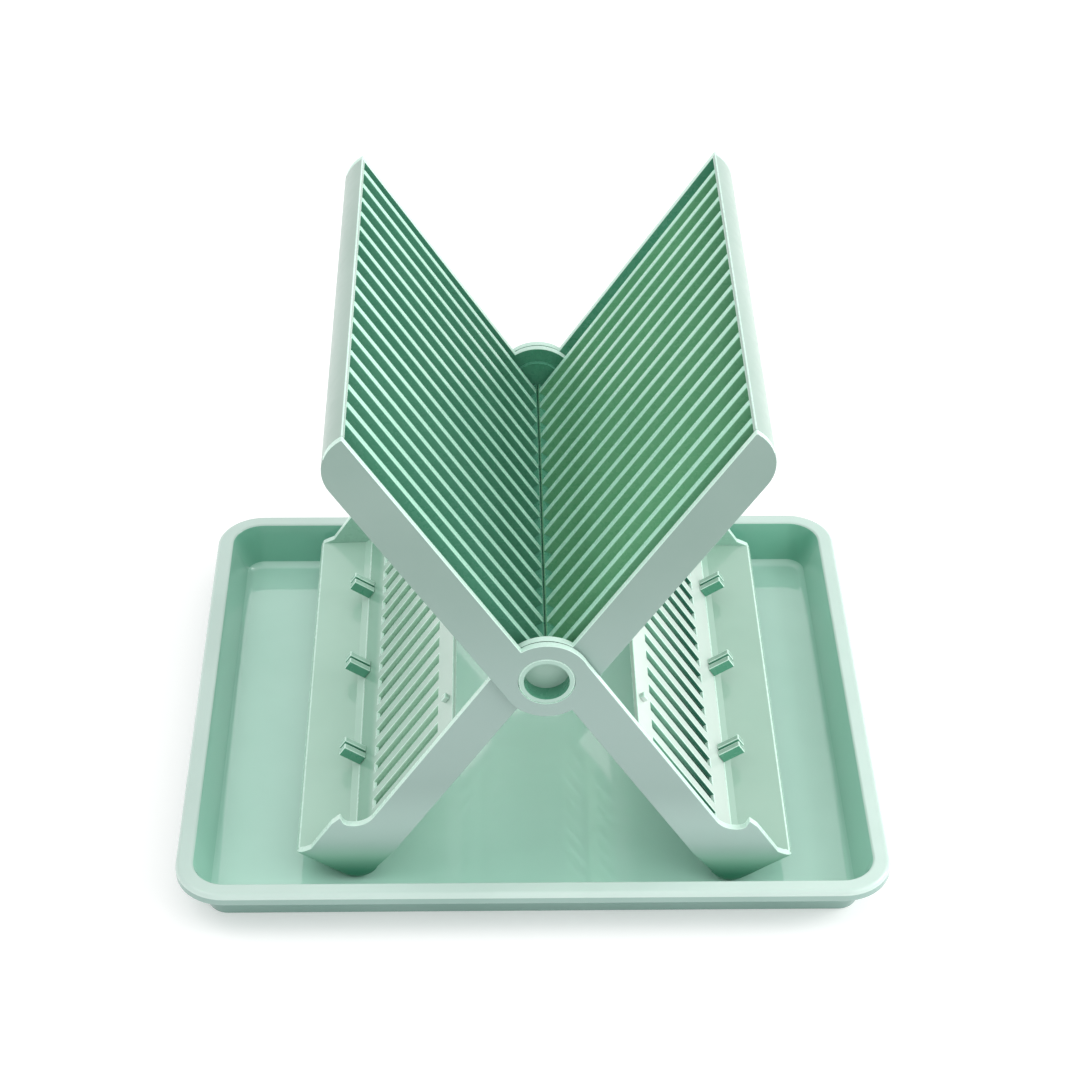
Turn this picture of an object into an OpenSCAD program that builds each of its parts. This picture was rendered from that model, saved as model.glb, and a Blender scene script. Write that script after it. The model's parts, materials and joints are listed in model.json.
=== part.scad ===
// Folding X-frame dish rack standing in a rectangular drip tray.
// X runs across the rack, Y from front to back, Z up; z = 0 is the tray's underside.
// Each panel is drawn in its own flat frame: s runs along the panel from the pivot
// towards the foot, v is the height above the plane that passes through the pivot.

/* [Drip tray] */
// Overall width of the tray across the rim
tray_w = 390; // [370:1:430]
// Overall depth of the tray across the rim
tray_d = 346; // [340:1:400]
// Height of the tray from its underside to the top of the rim
tray_h = 29; // [24:1:40]
// Width of the flat rim
rim_w = 10; // [7:0.5:14]
// Height of the rim's outer skirt
rim_skirt = 7.5; // [5:0.5:12]
// Outer corner radius of the rim
tray_corner_r = 28; // [22:1:40]
// How far the wall leans inwards from the rim to the floor
wall_lean = 8.5; // [4:0.5:9]
// Thickness of the tray's floor and walls
tray_t = 2.5; // [2:0.1:4]

/* [Rack] */
// Distance from the tray's middle to the rack's pivot, along X
rack_x = 6; // [-15:1:15]
// Front face of the rack, along Y
rack_front = -139; // [-142:0.5:-136]
// Overall depth of the rack
rack_d = 293.4; // [280:0.1:296]
// Angle of the arms above the horizontal when the rack stands open
open_angle = 56.6; // [54:0.1:60]
// Length of the upper arms from the pivot
upper_len = 183; // [150:1:190]
// Width of the arms
arm_w = 23.5; // [22.5:0.5:28]
// Radius of the upper outer corner of each panel
top_r = 22; // [10:1:22]
// Thickness of the cheeks
cheek_t = 4; // [3:0.5:4.5]
// Running gap between the two panels
panel_gap = 0.6; // [0.4:0.1:1]
// Thickness of the inner skins and rails
skin_t = 2.5; // [2:0.1:3.5]

/* [Plate fins] */
// Number of fins on each panel
fin_count = 17; // [9:1:17]
// Distance between neighbouring fins
fin_pitch = 15.9; // [14:0.1:15.9]
// Thickness of a fin
fin_t = 4.4; // [1.4:0.1:5]

/* [Legs and cup rail] */
// Where the slotted leg sheet starts, from the pivot
sheet_start = 60; // [50:1:66]
// Height of the leg sheet's upper face above the panel plane
sheet_v = 20; // [15:0.5:22]
// Where the slots start, from the pivot
slot_start = 75; // [70:1:90]
// Where the slots end, from the pivot
slot_end = 141; // [120:1:146]
// Number of slots in panel a's leg sheet; panel b's has one fewer
slot_count = 18; // [9:1:18]
// Distance between neighbouring slots
slot_pitch = 14.8; // [12:0.1:15]
// Width of a slot
slot_w = 7.5; // [4:0.5:8]
// Distance from the pivot to the outer end of the foot
foot_len = 181; // [176:1:186]
// Height of the cup rail's outer edge above the panel plane
lip_v = 44; // [42:1:48]
// Radius of the foot that rolls on the tray floor
foot_r = 14; // [10:1:16]
// Distance between neighbouring cup pegs
peg_pitch = 77; // [60:1:84]
// Length of a cup peg
peg_len = 14; // [10:1:18]

/* [Pivot] */
// Radius of the round boss on each cheek
boss_r = 23.7; // [21:0.1:26]
// Outer radius of the hollow pivot hub
hub_r = 15; // [12:0.5:17]
// Radial clearance of the hub in its bore
hub_clear = 0.1; // [0.05:0.01:0.1]
// Depth of the recess in the hub
hub_depth = 9.4; // [9.4:0.1:12]

/* [Hidden] */
$fn = 96;
BODY_COLOUR = [0.66, 0.83, 0.76];
SHADE_COLOUR = [0.55, 0.76, 0.67];
foot_clear = 0.3;                       // foot to tray floor
half_gap = 0.4;                         // each panel's face to the fold plane
foot_s = foot_len - foot_r;             // centre of the rolling foot
foot_v = foot_r;
pivot_z = tray_t + foot_clear + foot_r + foot_s * sin(open_angle) - foot_v * cos(open_angle);
outer_front = rack_front;                             // cheek outside at the front
inner_front = rack_front + cheek_t + panel_gap;       // cheek inside at the front
outer_back = rack_front + rack_d - cheek_t;
inner_back = rack_front + rack_d - 2 * cheek_t - panel_gap;
first_fin = rack_front + rack_d / 2 - fin_pitch * (fin_count - 1) / 2;
spine_s = [-40, -28];                   // the crossbar that ties the fins
spine_t = 4;
hook_r = 13;                            // hollow between the arm and the horn
horn_s = 147;                           // inner end of the cup rail's side wall
rail_v = lip_v - 4;                     // side wall's height above the panel plane
rib_t = 2;                              // ribs under the leg sheet, between its slots
rib_v = 11;                             // height of their lower edges above the panel plane
rib_shift = 4;                          // how far they sit towards the foot from the slots
valley_s = 158;                         // where the leg sheet turns up into the cup rail
end_wall_top = lip_v - 5.5;             // where the foot's end wall meets the cup rail
heel_in = 12;                           // from the outer cheek's face to the end of that wall
heel_t = 1.2;                           // thickness of the wall along the bottom of the V
heel_lip_s = [1.8, 2.8];                // the lip of panel a that runs under the gap between the two walls
peg_rows = [for (i = [-1:1]) rack_front + rack_d / 2 + 8 + i * peg_pitch];

// ---- Tray ----------------------------------------------------------------

// Sweeps a section round the tray; the section's x is the distance in from the rim's edge
module round_the_tray() {
    straight_w = tray_w - 2 * tray_corner_r;
    straight_d = tray_d - 2 * tray_corner_r;
    for (side = [-1, 1]) {
        translate([-straight_w / 2, side * straight_d / 2, 0])
            rotate([90, 0, 90])
                linear_extrude(straight_w)
                    scale_x(side) translate([tray_corner_r, 0]) mirror([1, 0]) children();
        translate([side * straight_w / 2, straight_d / 2, 0])
            rotate([90, 0, 0])
                linear_extrude(straight_d)
                    scale_x(side) translate([tray_corner_r, 0]) mirror([1, 0]) children();
        for (end = [-1, 1])
            translate([side * straight_w / 2, end * straight_d / 2, 0])
                rotate([0, 0, side > 0 ? (end > 0 ? 0 : -90) : (end > 0 ? 90 : 180)])
                    rotate_extrude(angle = 90)
                        translate([tray_corner_r, 0]) mirror([1, 0]) children();
    }
}

// Flips a section to the other side of its axis
module scale_x(side) {
    if (side > 0) children();
    else mirror([1, 0]) children();
}

function floor_in() = rim_w + wall_lean;   // from the rim's edge to the floor's edge

module tray_floor() {
    color(BODY_COLOUR)
        linear_extrude(tray_t)
            rounded_plate(tray_w - 2 * floor_in(), tray_d - 2 * floor_in(), tray_corner_r - floor_in());
}

module rounded_plate(w, d, r) {
    square([w - 2 * r, d], center = true);
    square([w, d - 2 * r], center = true);
    for (x = [-1, 1], y = [-1, 1])
        translate([x * (w / 2 - r), y * (d / 2 - r)]) circle(r);
}

module tray_wall() {
    color(SHADE_COLOUR)
        round_the_tray()
            polygon([
                [floor_in(), 0],
                [floor_in(), tray_t],
                [rim_w, tray_h - tray_t],
                [rim_w - tray_t, tray_h - tray_t],
                [floor_in() - tray_t, 0]
            ]);
}

module tray_rim() {
    edge_r = 2;
    color(BODY_COLOUR)
        round_the_tray() {
            translate([edge_r, tray_h - tray_t]) square([rim_w - edge_r, tray_t]);
            translate([0, tray_h - rim_skirt]) square([tray_t, rim_skirt - edge_r]);
            translate([edge_r, tray_h - edge_r])
                intersection() {
                    circle(edge_r);
                    translate([-edge_r, 0]) square(edge_r);
                }
            translate([edge_r - 0.01, tray_h - tray_t]) square([tray_t - edge_r + 0.01, tray_t - edge_r]);
        }
}

// ---- Panels: the flat outline --------------------------------------------

// Points on an arc, in the panel's (s, v) plane
function arc(centre, r, from, to, steps = 12) =
    [for (i = [0:steps]) let (a = from + (to - from) * i / steps) centre + r * [cos(a), sin(a)]];

// An upper arm's outline, inset by t from its outer faces and stopping short of the pivot
module upper_arm_outline(t = 0, short = 0) {
    polygon(concat(
        [[-short, -half_gap]],
        [[t - upper_len, -half_gap]],
        arc([top_r - upper_len, top_r - arm_w], top_r - t, 180, 270),
        [[-short, t - arm_w]]
    ));
}

module lower_arm_outline() {
    translate([0, half_gap]) square([110, arm_w - half_gap]);
    polygon(concat(
        [[100, half_gap]],
        [[foot_s, half_gap]],
        arc([foot_s, foot_v], foot_r, -88, 0),
        [[foot_len, lip_v], [foot_len - skin_t, lip_v]],
        [[foot_len - 9, rail_v], [horn_s + 3, rail_v]],
        [[horn_s - 3.2, rail_v - 1.6], [horn_s - 0.6, rail_v - 5.5]],
        arc([horn_s - hook_r, arm_w + hook_r], hook_r, -18, -90),
        [[100, arm_w]]
    ));
}

module cheek_outline(hole_r) {
    difference() {
        union() {
            circle(boss_r);
            upper_arm_outline();
            lower_arm_outline();
        }
        circle(hole_r);
    }
}

// ---- Panels: placing -----------------------------------------------------

// Panel a has its foot on the right, panel b on the left
module on_panel(side) {
    translate([rack_x, 0, pivot_z])
        mirror([side == "b" ? 1 : 0, 0, 0])
            rotate([0, open_angle, 0])
                children();
}

// A slab of a flat outline, from y0 and t thick
module slab(y0, t) {
    translate([0, y0 + t, 0])
        rotate([90, 0, 0])
            linear_extrude(t)
                children();
}

// Front and back limits of what lies between a panel's cheeks
function inside_front(side) = (side == "a" ? outer_front : inner_front) + cheek_t;
function inside_back(side) = side == "a" ? inner_back : outer_back;

module between_cheeks(side) {
    on_panel(side)
        slab(inside_front(side), inside_back(side) - inside_front(side))
            children();
}

// An outside cheek turns on the other panel's hub; an inside cheek carries its own
module front_cheek(side) {
    outside = side == "a";
    color(BODY_COLOUR)
        on_panel(side)
            slab(outside ? outer_front : inner_front, cheek_t)
                cheek_outline(outside ? hub_r + hub_clear : hub_r);
}

module back_cheek(side) {
    outside = side == "b";
    color(BODY_COLOUR)
        on_panel(side)
            slab(outside ? outer_back : inner_back, cheek_t)
                cheek_outline(outside ? hub_r + hub_clear : hub_r);
}

// ---- Panels: the upper half ----------------------------------------------

module top_rail(side) {
    color(BODY_COLOUR)
        between_cheeks(side)
            difference() {
                upper_arm_outline();
                upper_arm_outline(skin_t);
                translate([0, half_gap]) upper_arm_outline(skin_t);
                translate([top_r - upper_len, -arm_w - 1]) square([upper_len, arm_w + 2]);
            }
}

module spine_outline() {
    translate([spine_s[0], -arm_w]) square([spine_s[1] - spine_s[0], spine_t]);
}

module plate_fins(side) {
    color(SHADE_COLOUR)
        on_panel(side)
            for (i = [0:fin_count - 1])
                slab(first_fin + i * fin_pitch - fin_t / 2, fin_t)
                    difference() {
                        upper_arm_outline(skin_t, heel_t);
                        spine_outline();
                    }
}

module fin_spine(side) {
    color(SHADE_COLOUR)
        between_cheeks(side)
            spine_outline();
}

// The wall along the bottom of the V, between the bosses. Panel a's has a lip under the gap
module fin_heel(side) {
    color(SHADE_COLOUR)
        on_panel(side)
            slab(rack_front + heel_in, rack_d - 2 * heel_in) {
                translate([-heel_t, skin_t - arm_w])
                    square([heel_t, arm_w - skin_t - half_gap]);
                if (side == "a")
                    polygon([
                        [0, -6],
                        [0, -4.5],
                        [heel_lip_s[0], -3],
                        [heel_lip_s[0], 0.3],
                        [heel_lip_s[1], 0.3],
                        [heel_lip_s[1], -3.5]
                    ]);
            }
}

// ---- Panels: the lower half ----------------------------------------------

// Middles of the slots in a panel's leg sheet, along Y
function slot_rows(side) =
    side == "a"
        ? [for (i = [0:slot_count - 1]) rack_front + 12 + i * slot_pitch]
        : [for (i = [0:slot_count - 2]) rack_front + 24.4 + i * slot_pitch];

module leg_sheet(side) {
    y0 = inside_front(side);
    color(BODY_COLOUR)
        on_panel(side)
            difference() {
                translate([sheet_start, y0, sheet_v - skin_t])
                    cube([valley_s - sheet_start, inside_back(side) - y0, skin_t]);
                for (y = slot_rows(side))
                    translate([slot_start, y - slot_w / 2, sheet_v - skin_t - 1])
                        cube([slot_end - slot_start, slot_w, skin_t + 2]);
            }
}

// The shelf that turns up from the leg sheet to the outer edge
module cup_rail(side) {
    color(BODY_COLOUR)
        between_cheeks(side)
            polygon([
                [valley_s, sheet_v],
                [valley_s + 5, sheet_v + 2],
                [foot_len - skin_t, lip_v],
                [foot_len, lip_v],
                [foot_len, end_wall_top],
                [foot_len - skin_t, end_wall_top],
                [valley_s + 6.5, sheet_v - 0.6],
                [valley_s, sheet_v - skin_t]
            ]);
}

// The end wall and its round foot, on which the panel rolls
module foot_rail(side) {
    color(SHADE_COLOUR)
        between_cheeks(side)
            difference() {
                union() {
                    translate([foot_len - skin_t, foot_v]) square([skin_t, end_wall_top - foot_v]);
                    intersection() {
                        translate([foot_s, foot_v]) circle(foot_r);
                        translate([foot_s - 4, half_gap]) square([foot_r + 5, foot_v - half_gap]);
                    }
                }
                translate([foot_s, foot_v]) circle(foot_r - skin_t);
                translate([foot_s - 10, foot_v]) square([10 + foot_r - skin_t, foot_r]);
            }
}

// Stiffening ribs under the leg sheet, one between each two slots
module sheet_ribs(side) {
    rows = slot_rows(side);
    color(SHADE_COLOUR)
        on_panel(side)
            for (i = [1:len(rows) - 1])
                slab(rows[i] - slot_pitch / 2 - rib_t / 2, rib_t)
                    translate([slot_start + rib_shift, rib_v])
                        square([slot_end - slot_start, sheet_v - skin_t - rib_v]);
}

// Three forked pegs that hold upturned cups: pairs of prongs with a slit between them
module cup_pegs(side) {
    prong = [6.5, 4.2];
    slit = 1.8;
    color(BODY_COLOUR)
        on_panel(side)
            for (y = peg_rows)
                for (offset = [-prong[1] - slit / 2, slit / 2])
                    translate([valley_s - prong[0], y + offset, sheet_v])
                        cube([prong[0], prong[1], peg_len]);
}

// Two small catches near the leg sheet's upper edge
module catch_nubs(side) {
    color(BODY_COLOUR)
        on_panel(side)
            for (y = [rack_front + 38, rack_front + rack_d - 38])
                translate([sheet_start + 3, y - 2, sheet_v])
                    cube([4, 4, 3]);
}

// ---- Pivot ---------------------------------------------------------------

// A hollow hub, closed at its inner end, along +Y from its open face
module pivot_hub() {
    wall = 3;
    web = 2;
    chamfer = 0.8;
    rotate([-90, 0, 0])
        rotate_extrude()
            polygon([
                [hub_r - wall, 0],
                [hub_r - chamfer, 0],
                [hub_r, chamfer],
                [hub_r, hub_depth + web],
                [0, hub_depth + web],
                [0, hub_depth],
                [hub_r - wall, hub_depth]
            ]);
}

module pivot_hub_front() {
    color(BODY_COLOUR)
        translate([rack_x, outer_front, pivot_z])
            pivot_hub();
}

module pivot_hub_back() {
    color(BODY_COLOUR)
        translate([rack_x, outer_back + cheek_t, pivot_z])
            rotate([0, 0, 180])
                pivot_hub();
}

tray_floor();
tray_wall();
tray_rim();
front_cheek("a");  // front_cheek_a
back_cheek("a");  // back_cheek_a
top_rail("a");  // top_rail_a
plate_fins("a");  // plate_fins_a
fin_spine("a");  // fin_spine_a
fin_heel("a");  // fin_heel_a
leg_sheet("a");  // leg_sheet_a
sheet_ribs("a");  // sheet_ribs_a
cup_rail("a");  // cup_rail_a
foot_rail("a");  // foot_rail_a
cup_pegs("a");  // cup_pegs_a
catch_nubs("a");  // catch_nubs_a
front_cheek("b");  // front_cheek_b
back_cheek("b");  // back_cheek_b
top_rail("b");  // top_rail_b
plate_fins("b");  // plate_fins_b
fin_spine("b");  // fin_spine_b
fin_heel("b");  // fin_heel_b
leg_sheet("b");  // leg_sheet_b
sheet_ribs("b");  // sheet_ribs_b
cup_rail("b");  // cup_rail_b
foot_rail("b");  // foot_rail_b
cup_pegs("b");  // cup_pegs_b
catch_nubs("b");  // catch_nubs_b
pivot_hub_front();
pivot_hub_back();
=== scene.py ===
"""Folding dish rack in its drip tray: the looks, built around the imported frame. Metres, Z up."""
import json
import math

import bmesh
import bpy
from mathutils import Matrix, Vector


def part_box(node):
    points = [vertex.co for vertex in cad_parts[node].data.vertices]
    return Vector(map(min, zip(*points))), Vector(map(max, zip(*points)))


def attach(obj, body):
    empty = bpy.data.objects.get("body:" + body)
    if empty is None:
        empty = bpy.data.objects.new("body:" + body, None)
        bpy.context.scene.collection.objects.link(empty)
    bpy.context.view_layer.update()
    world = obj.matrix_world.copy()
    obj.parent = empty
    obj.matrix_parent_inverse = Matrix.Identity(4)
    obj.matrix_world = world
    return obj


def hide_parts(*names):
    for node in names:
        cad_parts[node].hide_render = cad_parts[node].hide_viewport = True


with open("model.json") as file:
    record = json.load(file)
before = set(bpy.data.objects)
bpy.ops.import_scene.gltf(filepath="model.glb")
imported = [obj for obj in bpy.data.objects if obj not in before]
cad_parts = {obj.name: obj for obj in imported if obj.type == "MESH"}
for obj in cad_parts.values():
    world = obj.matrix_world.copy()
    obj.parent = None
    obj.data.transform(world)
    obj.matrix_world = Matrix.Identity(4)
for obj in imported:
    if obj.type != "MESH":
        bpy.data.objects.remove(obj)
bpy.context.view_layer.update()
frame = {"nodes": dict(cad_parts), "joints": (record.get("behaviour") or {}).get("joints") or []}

MM = 0.001
PANEL_BODIES = {"a": "panel_a", "b": "panel_b"}
JOINTS = {joint["name"]: Vector(joint["pos_m"]) for joint in frame["joints"]}
PIVOT = JOINTS["scissor_pivot"]
FOOT = JOINTS["fold"]
FOOT_R = FOOT.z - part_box("foot_rail_a")[0][2]
BORE_REACH = 17 * MM            # edges nearer the pivot's axis stay sharp, so that the hubs fit
SEAM_REACH = 4 * MM             # the fins' ends this near the bottom of the V stay sharp
SHARP_TURN = math.radians(32)   # edges that turn more than this stay sharp in the shading
BEVEL_TURN = math.radians(40)   # outer edges that turn more than this are rounded
SLOT_WALL_AREA = 300 * MM * MM  # a slot's long wall is smaller than this, unlike the sheet's ends
SLOT_END_AREA = 24 * MM * MM    # and a slot's short end is smaller than this
# A rack piece's second material is a painted highlight and its third a painted shade.
BASE, PAINTED_HIGHLIGHT, SHADED = range(3)     # the order of a rack piece's materials


# ---- Materials -------------------------------------------------------------

def new_material(name):
    """A material with its node tree and its shader."""
    mat = bpy.data.materials.new(name)
    mat.use_nodes = True
    tree = mat.node_tree
    return mat, tree, tree.nodes["Principled BSDF"]


def add_node(tree, kind, **settings):
    """A new node; each setting is one of its inputs or one of its own properties."""
    node = tree.nodes.new(kind)
    for key, value in settings.items():
        if key in node.inputs:
            node.inputs[key].default_value = value
        else:
            setattr(node, key, value)
    return node


def colour_ramp(tree, source, stops):
    """Turns a value into a colour, by (place, colour) stops."""
    ramp = add_node(tree, "ShaderNodeValToRGB")
    elements = ramp.color_ramp.elements
    while len(elements) < len(stops):
        elements.new(0.5)
    for element, (place, colour) in zip(elements, stops):
        element.position = place
        element.color = (*colour, 1.0)
    tree.links.new(source, ramp.inputs["Fac"])
    return ramp.outputs["Color"]


def grey(value):
    """A grey that carries one value through a colour ramp."""
    return (value, value, value)


def blend_from(tree, other, colour, measure, low, high):
    """Blends softly from another colour to this one while a measure goes from low to high."""
    share = add_node(tree, "ShaderNodeMapRange", interpolation_type="SMOOTHSTEP")
    share.inputs["From Min"].default_value = low
    share.inputs["From Max"].default_value = high
    tree.links.new(measure, share.inputs["Value"])
    blend = add_node(tree, "ShaderNodeMix", data_type="RGBA")
    blend.inputs["A"].default_value = (*other, 1)
    tree.links.new(share.outputs["Result"], blend.inputs["Factor"])
    tree.links.new(colour, blend.inputs["B"])
    return blend.outputs["Result"]


def change_below(tree, colour, place, other, low, high, axis="Z"):
    """Another colour below a place along an axis; low and high are in millimetres."""
    split = add_node(tree, "ShaderNodeSeparateXYZ")
    tree.links.new(place, split.inputs["Vector"])
    return blend_from(tree, other, colour, split.outputs[axis], low * MM, high * MM)


def lighten_middle(tree, colour, place, middle, reach=170 * MM):
    """A lighter colour round the object's middle, as painted light."""
    spread = add_node(tree, "ShaderNodeVectorMath", operation="LENGTH")
    tree.links.new(place, spread.inputs[0])
    return blend_from(tree, middle, colour, spread.outputs["Value"], 0, reach)


def moulded_plastic(name, dark, light, rough=(0.24, 0.34), ior=1.5, below=(), middle=None, wave=0.12):
    """Glossy moulded polypropylene: cloudy colour, uneven gloss, a soft ripple and a fine grain.

    The colour drifts between dark and light, and the roughness between the two values of rough.
    Each entry of below is a change_below, and middle is a lighter colour painted round the object's middle
    as painted light.
    """
    mat, tree, shader = new_material(name)
    place = add_node(tree, "ShaderNodeTexCoord").outputs["Object"]
    clouds = add_node(tree, "ShaderNodeTexNoise", Scale=14.0, Detail=3.0, Roughness=0.55)
    tree.links.new(place, clouds.inputs["Vector"])
    colour = colour_ramp(tree, clouds.outputs["Fac"], [(0.35, dark), (0.65, light)])
    for change in below:
        colour = change_below(tree, colour, place, *change)
    if middle:
        colour = lighten_middle(tree, colour, place, middle)
    tree.links.new(colour, shader.inputs["Base Color"])
    scuffs = add_node(tree, "ShaderNodeTexNoise", Scale=160.0, Detail=3.0, Roughness=0.6)
    tree.links.new(place, scuffs.inputs["Vector"])
    gloss = colour_ramp(tree, scuffs.outputs["Fac"], [(0.35, grey(rough[0])), (0.75, grey(rough[1]))])
    tree.links.new(gloss, shader.inputs["Roughness"])
    ripple = add_node(tree, "ShaderNodeTexNoise", Scale=45.0, Detail=2.0)
    tree.links.new(place, ripple.inputs["Vector"])
    grain = add_node(tree, "ShaderNodeTexNoise", Scale=1400.0, Detail=2.0)
    tree.links.new(place, grain.inputs["Vector"])
    soft = add_node(tree, "ShaderNodeBump", Strength=wave, Distance=0.0006)
    tree.links.new(ripple.outputs["Fac"], soft.inputs["Height"])
    fine = add_node(tree, "ShaderNodeBump", Strength=0.05, Distance=0.00005)
    tree.links.new(grain.outputs["Fac"], fine.inputs["Height"])
    tree.links.new(soft.outputs["Normal"], fine.inputs["Normal"])
    tree.links.new(fine.outputs["Normal"], shader.inputs["Normal"])
    shader.inputs["IOR"].default_value = ior
    shader.inputs["Subsurface Weight"].default_value = 0.06
    shader.inputs["Subsurface Radius"].default_value = (0.6, 1.0, 0.8)
    shader.inputs["Subsurface Scale"].default_value = 0.002
    return mat


# The cheek is grey on its arm and a little lighter lower down. The pale band by the trough is painted
# light against the shade of the tray's wall, and the deep green on the sole that meets the tray is painted
# shade.
CHEEK = moulded_plastic("cheek_plastic_look", (0.235, 0.345, 0.30), (0.26, 0.37, 0.325), (0.38, 0.46),
                        below=[((0.305, 0.42, 0.385), 120, 230), ((0.48, 0.62, 0.58), 34, 76),
                               ((0.27, 0.51, 0.39), 15, 34), ((0.01, 0.15, 0.085), 7, 24)])
RAIL = moulded_plastic("rail_plastic_look", (0.37, 0.49, 0.43), (0.40, 0.52, 0.46), (0.3, 0.4))
# Panel a's sheet is a paler copy of the plastic as painted light; panel b's sheet turns darker below 36 to
# 45 mm as painted shade in the valley by the lip.
SHEET = {"a": moulded_plastic("painted_light_sheet_look", (0.60, 0.69, 0.64), (0.63, 0.72, 0.67), (0.12, 0.22)),
         "b": moulded_plastic("sheet_plastic_look", (0.49, 0.64, 0.56), (0.52, 0.67, 0.59), (0.12, 0.22),
                              below=[((0.28, 0.49, 0.38), 36, 45)])}
# Panel b's lip is a paler copy of panel a's, as painted light.
LIP = {"a": moulded_plastic("lip_plastic_look", (0.32, 0.49, 0.40), (0.35, 0.52, 0.43), (0.1, 0.2)),
       "b": moulded_plastic("painted_light_lip_look", (0.43, 0.645, 0.535), (0.46, 0.675, 0.565), (0.1, 0.2))}
HUB = moulded_plastic("hub_plastic_look", (0.36, 0.54, 0.46), (0.39, 0.57, 0.49), (0.3, 0.4))
# A deep green that is painted shade, for the pegs' fronts, the hubs' recesses and the fins' heel.
INNER_SHADE = moulded_plastic("inner_shade_look", (0.09, 0.32, 0.21), (0.11, 0.36, 0.24))
# The cheeks' inner faces are deep green as painted shade, lighter below 95 to 140 mm.
CHEEK_INSIDE = moulded_plastic("cheek_inside_look", (0.09, 0.32, 0.21), (0.11, 0.36, 0.24),
                               below=[((0.34, 0.57, 0.46), 95, 140)])
# The fins are deep green as painted shade between them; panel b's are a lighter copy.
FINS = {"a": moulded_plastic("fin_plastic_look", (0.105, 0.34, 0.225), (0.13, 0.38, 0.255)),
        "b": moulded_plastic("lighter_fin_shade_look", (0.18, 0.46, 0.265), (0.21, 0.50, 0.295))}
# The slots' long walls and the ribs under the sheets are painted shade; panel a's turn near black below 46
# to 88 mm, panel b's are lighter.
SLOTS = {"a": moulded_plastic("shaded_slot_look", (0.22, 0.48, 0.35), (0.26, 0.52, 0.39),
                              below=[((0.04, 0.18, 0.12), 46, 88)]),
         "b": moulded_plastic("slot_plastic_look", (0.38, 0.61, 0.46), (0.42, 0.65, 0.50))}
# Pale copies of the plastic: painted highlights on the fins' tops and on the rounded edges that face up.
FIN_EDGE = moulded_plastic("fin_edge_look", (0.44, 0.76, 0.61), (0.48, 0.80, 0.65))
EDGE = moulded_plastic("painted_highlight_edge_look", (0.62, 0.84, 0.74), (0.68, 0.89, 0.79))
# The tray's floor is lighter round its middle: painted light where the rack shades it.
TRAY_FLOOR = moulded_plastic("tray_floor_look", (0.42, 0.70, 0.59), (0.45, 0.73, 0.62), (0.03, 0.06), 1.8,
                             middle=(0.66, 0.93, 0.82), wave=0.08)
# The tray's inner wall, skirt and outside are darker copies of the plastic as painted shade, the inner
# wall darkest at the back, past 138 to 156 mm; the rim is a paler copy as painted light.
TRAY_WALL = moulded_plastic("tray_wall_look", (0.17, 0.45, 0.33), (0.20, 0.48, 0.36), (0.1, 0.18),
                            below=[((0.345, 0.615, 0.505), 138, 156, "Y")])
TRAY_SKIRT = moulded_plastic("tray_skirt_look", (0.27, 0.41, 0.365), (0.30, 0.44, 0.395), (0.15, 0.25))
TRAY_OUTSIDE = moulded_plastic("tray_outside_look", (0.17, 0.31, 0.265), (0.20, 0.34, 0.295), (0.15, 0.25))
TRAY_RIM = moulded_plastic("tray_rim_look", (0.53, 0.67, 0.615), (0.57, 0.71, 0.655), (0.15, 0.25))


# ---- Mesh helpers ----------------------------------------------------------

def finish_piece(bm, name, body, materials, nodes):
    """Makes the piece, shades it smoothly between sharp edges and ties it to the frame."""
    bmesh.ops.recalc_face_normals(bm, faces=bm.faces)
    mesh = bpy.data.meshes.new(name)
    bm.to_mesh(mesh)
    bm.free()
    for material in materials:
        mesh.materials.append(material)
    piece = bpy.data.objects.new(name, mesh)
    bpy.context.scene.collection.objects.link(piece)
    for face in mesh.polygons:
        face.use_smooth = True
    mesh.set_sharp_from_angle(angle=SHARP_TURN)
    piece.modifiers.new("even_shading", "WEIGHTED_NORMAL").keep_sharp = True
    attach(piece, body)
    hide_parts(*nodes)


def cad_copy(node):
    """The node's own faces, welded, flat areas joined, and none left between solids that touch."""
    bm = bmesh.new()
    bm.from_mesh(frame["nodes"][node].data)
    bmesh.ops.remove_doubles(bm, verts=bm.verts, dist=1e-6)
    bmesh.ops.dissolve_limit(bm, angle_limit=math.radians(1), verts=bm.verts, edges=bm.edges)
    between = [face for face in bm.faces if all(len(edge.link_faces) > 2 for edge in face.edges)]
    bmesh.ops.delete(bm, geom=between, context="FACES_ONLY")
    return bm


def round_edges(bm, width, wanted):
    """Rounds the sharp outer edges that the test wants; those facing up get a painted highlight."""
    edges = [e for e in bm.edges if len(e.link_faces) == 2 and e.is_convex
             and e.calc_face_angle(0) > BEVEL_TURN and wanted(e)]
    rounded = bmesh.ops.bevel(bm, geom=edges, offset=width, segments=3, profile=0.6,
                              affect="EDGES", clamp_overlap=True)
    for face in rounded["faces"]:
        face.normal_update()
        if face.normal.z > 0.2:
            face.material_index = PAINTED_HIGHLIGHT


# ---- Tray ------------------------------------------------------------------

WALL, RIM, FLOOR, SKIRT, OUTSIDE = range(5)
TRAY_CORNER_R = 28 * MM
LEAST_CORNER_R = 3 * MM
LONG_SIDE = 50 * MM


def rounded_ring(half_w, half_d, radius, z, corner_steps=12, side_steps=6):
    """Points round a rounded rectangle, with points along its sides."""
    points = []
    corners = [(1, 1, 0), (-1, 1, 90), (-1, -1, 180), (1, -1, 270)]
    for sx, sy, start in corners:
        cx, cy = sx * (half_w - radius), sy * (half_d - radius)
        for i in range(corner_steps + 1):
            a = math.radians(start + 90 * i / corner_steps)
            points.append(Vector((cx + radius * math.cos(a), cy + radius * math.sin(a), z)))
    full = []
    for here, there in zip(points, points[1:] + points[:1]):
        full.append(here)
        if (there - here).length > LONG_SIDE:
            full += [here.lerp(there, k / side_steps) for k in range(1, side_steps)]
    return full


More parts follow.
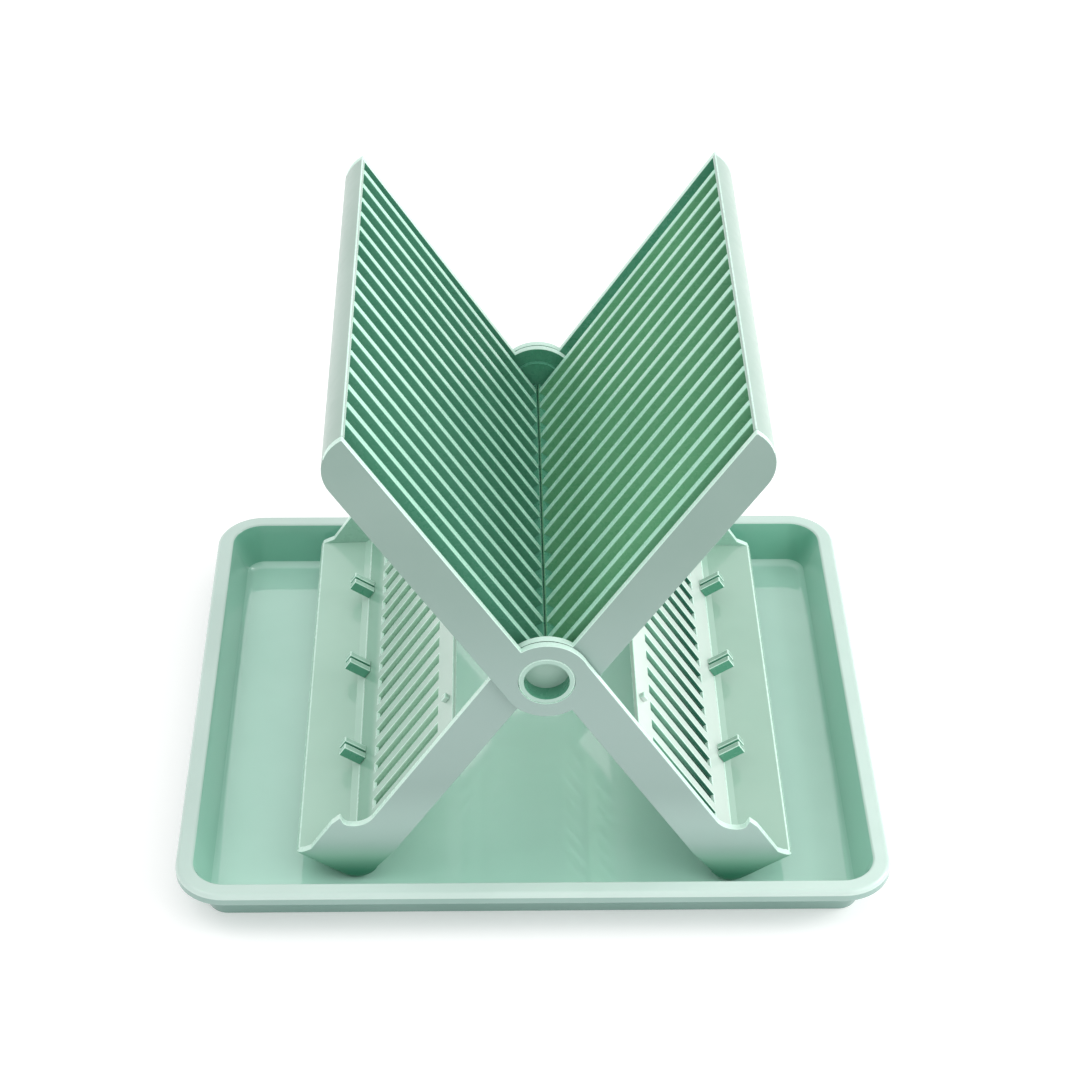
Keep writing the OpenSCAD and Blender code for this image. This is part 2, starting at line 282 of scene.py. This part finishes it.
def arc_points(inset, z, radius, start, end, zone, steps=6):
    """Points on an arc in the tray's section, angles in degrees."""
    angles = [math.radians(start + (end - start) * i / steps) for i in range(steps + 1)]
    return [(inset + radius * math.cos(a), z + radius * math.sin(a), zone) for a in angles]


def tray_section():
    """The section from the underside round the rim to the floor: (inset from the rim's edge, z, zone)."""
    rim_low, rim_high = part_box("tray_rim")
    floor_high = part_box("tray_floor")[1]
    skirt_z, rim_z, t = rim_low[2], rim_high[2], floor_high[2]
    floor_in = rim_high[0] - floor_high[0]
    rim_w = rim_high[0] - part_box("tray_wall")[1][0] + t
    lip_r, shoulder_r, root_r = 2.6 * MM, 1.8 * MM, 4.5 * MM
    lean = math.degrees(math.atan2(floor_in - rim_w, rim_z - t))
    return (
        [(floor_in - t + 2 * MM, 0, OUTSIDE), (floor_in - t + 0.6 * MM, 0.3 * MM, OUTSIDE),
         (floor_in - t, 1.4 * MM, OUTSIDE), (rim_w - t, rim_z - t - 1.2 * MM, OUTSIDE),
         (rim_w - t - 1.2 * MM, rim_z - t, OUTSIDE), (t + 0.8 * MM, rim_z - t, OUTSIDE),
         (t, rim_z - t - 0.8 * MM, OUTSIDE)]
        + arc_points(t / 2, skirt_z + t / 2, t / 2, 0, -180, SKIRT)
        + [(0, skirt_z + 0.6 * (rim_z - skirt_z), RIM)]
        + arc_points(lip_r, rim_z - lip_r, lip_r, 180, 90, RIM)
        + arc_points(rim_w - shoulder_r, rim_z - shoulder_r, shoulder_r, 90, 50, RIM, 3)
        + arc_points(rim_w - shoulder_r, rim_z - shoulder_r, shoulder_r, 36, lean, WALL, 2)
        + [(rim_w + 1.4 * MM, rim_z - 5 * MM, WALL)]
        + arc_points(floor_in + root_r * 0.7, t + root_r, root_r, 180 + lean, 270, FLOOR)
    )


def build_tray():
    """One shell, swept round the tray from its section."""
    half_w, half_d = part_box("tray_rim")[1][:2]
    bm = bmesh.new()
    rings = []
    section = tray_section()
    for inset, z, _ in section:
        ring = rounded_ring(half_w - inset, half_d - inset, max(TRAY_CORNER_R - inset, LEAST_CORNER_R), z)
        rings.append([bm.verts.new(p) for p in ring])
    for one, two, (_, _, zone) in zip(rings, rings[1:], section):
        for i in range(len(one)):
            j = (i + 1) % len(one)
            bm.faces.new((one[i], one[j], two[j], two[i])).material_index = zone
    bm.faces.new(rings[0]).material_index = OUTSIDE
    bm.faces.new(rings[-1]).material_index = FLOOR
    finish_piece(bm, "tray_shell", "tray",
                 [TRAY_WALL, TRAY_RIM, TRAY_FLOOR, TRAY_SKIRT, TRAY_OUTSIDE],
                 ["tray_floor", "tray_wall", "tray_rim"])


# ---- Rack ------------------------------------------------------------------

# A panel's own frame: s runs along it from the pivot to the foot, v up from the plane through the
# pivot. The foot's centre is at (FOOT_S, FOOT_R).
FOOT_S = math.sqrt((FOOT - PIVOT).length_squared - FOOT_R ** 2)
SLOPE = math.atan2(FOOT.z - PIVOT.z, FOOT.x - PIVOT.x) - math.atan2(FOOT_R, FOOT_S)
SOFT_START = FOOT_S - 26 * MM   # the softening starts here along the panel, is whole at SOFT_FULL
SOFT_FULL = FOOT_S + 2 * MM
SOFT_R = 5.5 * MM
GRID, GRID_Y = 2 * MM, 1.5 * MM         # steps of the foot's grid, in its outline and from front to back
ALONG_CUTS, UP_CUTS, Y_CUTS = 21, 21, 7
ALONG = Vector((math.cos(SLOPE), 0, math.sin(SLOPE)))
UPWARD = Vector((-math.sin(SLOPE), 0, math.cos(SLOPE)))


def mirrored(vector, side):
    """A direction in panel a, turned round for panel b."""
    return Vector((-vector.x if side == "b" else vector.x, vector.y, vector.z))


def foot_depth(s, v):
    """How deep a point lies inside the foot's outline, and the way out of it, along and up the panel."""
    over_s, over_v = s - FOOT_S, FOOT_R - v
    if over_s > 0 and over_v > 0:
        reach = math.hypot(over_s, over_v)
        return FOOT_R - reach, (over_s / reach, -over_v / reach)
    if over_s > over_v:
        return FOOT_R - over_s, (1, 0)
    return FOOT_R - over_v, (0, -1)


def cut_foot_grid(bm, side, faces_y):
    """Cuts the foot's faces into a grid fine enough to bend."""
    along, upward = mirrored(ALONG, side), mirrored(UPWARD, side)
    cuts = [(PIVOT + along * (SOFT_START + k * GRID), along) for k in range(ALONG_CUTS)]
    cuts += [(PIVOT + upward * (k * GRID), upward) for k in range(1, UP_CUTS + 1)]
    cuts += [(Vector((0, y + sign * k * GRID_Y, 0)), Vector((0, 1, 0)))
             for y, sign in zip(faces_y, (1, -1)) for k in range(1, Y_CUTS + 1)]
    for place, normal in cuts:
        faces = [f for f in bm.faces if max((v.co - PIVOT).dot(along) for v in f.verts) > SOFT_START]
        geom = list({e for f in faces for e in f.edges}) + faces
        bmesh.ops.bisect_plane(bm, geom=geom, dist=1e-6, plane_co=place, plane_no=normal)


def soften_foot(bm, side):
    """Rounds the foot where its outline meets the panel's front and back faces."""
    faces_y = (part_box("front_cheek_" + side)[0][1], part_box("back_cheek_" + side)[1][1])
    cut_foot_grid(bm, side, faces_y)
    along, upward = mirrored(ALONG, side), mirrored(UPWARD, side)
    for vert in bm.verts:
        s, v = (vert.co - PIVOT).dot(along), (vert.co - PIVOT).dot(upward)
        share = min(max((s - SOFT_START) / (SOFT_FULL - SOFT_START), 0), 1)
        bend = SOFT_R * share * share * (3 - 2 * share)
        depth, (out_s, out_v) = foot_depth(s, v)
        from_front = vert.co.y - faces_y[0] < faces_y[1] - vert.co.y
        inward = 1 if from_front else -1
        near_y = bend - abs(vert.co.y - faces_y[0 if from_front else 1])
        near_edge = bend - depth
        if near_y > 0 and near_edge > 0:
            shrink = 1 - max(near_y, near_edge) / math.hypot(near_y, near_edge)
            vert.co.y += inward * near_y * shrink
            vert.co -= (along * out_s + upward * out_v) * near_edge * shrink
    for face in bm.faces:
        middle = face.calc_center_median()
        if (middle - PIVOT).dot(along) > FOOT_S and middle.z < FOOT.z:
            face.material_index = BASE


def in_fixed_order(bm):
    """The same mesh, sorted by place, because the foot's cuts leave a new order on every run."""
    fixed = bmesh.new()
    ranks = {vert: rank for rank, vert in enumerate(sorted(bm.verts, key=lambda vert: tuple(vert.co)))}
    verts = [fixed.verts.new(vert.co) for vert in ranks]
    rings = []
    for face in bm.faces:
        ring = [ranks[vert] for vert in face.verts]
        first = ring.index(min(ring))
        rings.append((ring[first:] + ring[:first], face.material_index))
    for ring, material in sorted(rings):
        fixed.faces.new([verts[rank] for rank in ring]).material_index = material
    bm.free()
    return fixed


def mark_faces(bm, index, wanted):
    """Gives one of the piece's materials to the faces that the test wants."""
    for face in bm.faces:
        if wanted(face):
            face.material_index = index


def from_axis(point):
    """How far a point is from the pivot's axis."""
    return math.hypot(point.x - PIVOT.x, point.z - PIVOT.z)


def clear_of_bore(edge):
    """True for an edge that stays away from the pivot's bore."""
    return min(from_axis(vert.co) for vert in edge.verts) > BORE_REACH


def away_from_seam(side):
    """A test that is true for edges that reach out from the bottom of the V."""
    along = mirrored(ALONG, side)
    return lambda edge: min((vert.co - PIVOT).dot(along) for vert in edge.verts) < -SEAM_REACH


def long_edge(edge):
    """True for an edge that runs from front to back."""
    way = edge.verts[1].co - edge.verts[0].co
    return abs(way.y) > 0.9 * way.length


def mark_slots(bm):
    """The long walls of the slots get painted shade; their short ends get a painted highlight."""
    mark_faces(bm, SHADED, lambda face: abs(face.normal.y) > 0.9 and face.calc_area() < SLOT_WALL_AREA)
    mark_faces(bm, PAINTED_HIGHLIGHT, lambda face: abs(face.normal.y) < 0.1 and face.calc_area() < SLOT_END_AREA)


def mark_cheek(bm, inward):
    """The inner face gets painted shade; the rim facing up gets a painted highlight."""
    mark_faces(bm, PAINTED_HIGHLIGHT, lambda face: abs(face.normal.y) < 0.5 and face.normal.z > 0.3)
    mark_faces(bm, SHADED, lambda face: face.normal.y * inward > 0.9)


def build_rack_piece(node, side, width, material, wanted=lambda edge: True, highlight=EDGE, shaded=INNER_SHADE):
    """A rack node with rounded edges, its painted highlights and shade, and, at the foot, a softened end.
    """
    bm = cad_copy(node)
    round_edges(bm, width, wanted)
    # The fins' tops and ends get a painted highlight.
    if node.startswith("plate_fins"):
        mark_faces(bm, PAINTED_HIGHLIGHT, lambda face: abs(face.normal.y) < 0.5)
    if node.startswith("leg_sheet"):
        mark_slots(bm)
    # The heel is painted shade, with the fins' lighter colour on its faces that look up the panel.
    if node.startswith("fin_heel"):
        mark_faces(bm, PAINTED_HIGHLIGHT, lambda face: face.normal.dot(mirrored(UPWARD, side)) > 0.7)
    # The pegs' fronts get painted shade.
    if node.startswith("cup_pegs"):
        mark_faces(bm, SHADED, lambda face: face.normal.y < -0.9)
    if "cheek" in node:
        mark_cheek(bm, -1 if "back" in node else 1)
    if node.startswith(("front_cheek", "back_cheek", "foot_rail", "cup_rail")):
        soften_foot(bm, side)
        bm = in_fixed_order(bm)
    finish_piece(bm, "look_" + node, PANEL_BODIES[side], [material, highlight, shaded], [node])


def build_hub(node, side, inward):
    """A hub with a painted highlight on the ring round its mouth, and painted shade in its recess and on
    its inner end.
    """
    bm = cad_copy(node)
    mark_faces(bm, SHADED, lambda face: abs(face.normal.y) < 0.5 or face.normal.y * inward > 0.9)
    mark_faces(bm, PAINTED_HIGHLIGHT, lambda face: 0.5 < abs(face.normal.y) < 0.9)
    finish_piece(bm, "look_" + node, PANEL_BODIES[side], [HUB, EDGE, INNER_SHADE], [node])


def build_panel(side):
    """All of one panel but its hub."""
    for part in ("front_cheek", "back_cheek"):
        build_rack_piece(part + "_" + side, side, 1.3 * MM, CHEEK, clear_of_bore, shaded=CHEEK_INSIDE)
    build_rack_piece("leg_sheet_" + side, side, 0.6 * MM, SHEET[side], shaded=SLOTS[side])
    # The sheet's ribs take the slots' painted shade.
    for part, width, material in [("cup_pegs", 0.7, LIP[side]), ("catch_nubs", 0.8, SHEET[side]),
                                  ("sheet_ribs", 0.4, SLOTS[side])]:
        build_rack_piece(part + "_" + side, side, width * MM, material)
    for part, width in [("plate_fins", 1.2), ("fin_spine", 0.4)]:
        build_rack_piece(part + "_" + side, side, width * MM, FINS[side], away_from_seam(side), FIN_EDGE)
    for part, material in [("top_rail", RAIL), ("cup_rail", LIP[side]), ("foot_rail", CHEEK)]:
        build_rack_piece(part + "_" + side, side, 0.6 * MM, material, long_edge)
    build_rack_piece("fin_heel_" + side, side, 0.3 * MM, INNER_SHADE, lambda edge: False, FINS[side])


# ---- Stage, light and camera -----------------------------------------------

def build_stage():
    """A plain pale floor."""
    mesh = bpy.data.meshes.new("floor")
    size = 30.0
    corners = [(-size, -size, 0), (size, -size, 0), (size, size, 0), (-size, size, 0)]
    mesh.from_pydata(corners, [], [(0, 1, 2, 3)])
    floor = bpy.data.objects.new("floor", mesh)
    bpy.context.scene.collection.objects.link(floor)
    mat, _, shader = new_material("pale_floor")
    shader.inputs["Base Color"].default_value = (0.8, 0.8, 0.8, 1)
    shader.inputs["Roughness"].default_value = 0.9
    shader.inputs["Emission Color"].default_value = (1, 1, 1, 1)
    shader.inputs["Emission Strength"].default_value = 0.3
    mesh.materials.append(mat)


def area_light(name, place, watts, size=1.0):
    """A square white light, aimed at the middle of the object."""
    data = bpy.data.lights.new(name, "AREA")
    data.shape = "SQUARE"
    data.size = size
    data.energy = watts
    lamp = bpy.data.objects.new(name, data)
    lamp.location = place
    lamp.rotation_euler = (Vector((0, 0, 0.1)) - Vector(place)).to_track_quat("-Z", "Y").to_euler()
    bpy.context.scene.collection.objects.link(lamp)


def build_lights():
    """Even white surroundings with a soft key from the right."""
    world = bpy.data.worlds.new("studio")
    world.use_nodes = True
    world.node_tree.nodes["Background"].inputs["Color"].default_value = (1, 1, 1, 1)
    world.node_tree.nodes["Background"].inputs["Strength"].default_value = 0.85
    bpy.context.scene.world = world
    area_light("key_right", (1.6, 0, 0.9), 16)
    area_light("front_right", (1.2, -1.0, 1.1), 5)
    area_light("high_left", (-1.0, -0.2, 1.6), 5)
    area_light("behind", (0.3, 1.5, 1.2), 2, 1.4)


def build_camera():
    """A camera in front of the tray, looking down at it."""
    data = bpy.data.cameras.new("camera")
    data.lens = 87.17
    data.sensor_width = 36
    camera = bpy.data.objects.new("camera", data)
    pitch, yaw, roll = math.radians(36.56), math.radians(-1.407), math.radians(0.597)
    turn = (Matrix.Rotation(yaw, 4, "Z") @ Matrix.Rotation(math.pi / 2 - pitch, 4, "X")
            @ Matrix.Rotation(roll, 4, "Z"))
    place = Vector((-0.02404, -1.18635, 1.01725))
    camera.matrix_world = Matrix.Translation(place) @ turn
    bpy.context.scene.collection.objects.link(camera)
    bpy.context.scene.camera = camera
    bpy.context.scene.view_settings.view_transform = "Standard"


build_camera()
build_tray()
for panel_side in PANEL_BODIES:
    build_panel(panel_side)
build_hub("pivot_hub_front", "b", 1)
build_hub("pivot_hub_back", "a", -1)
build_stage()
build_lights()
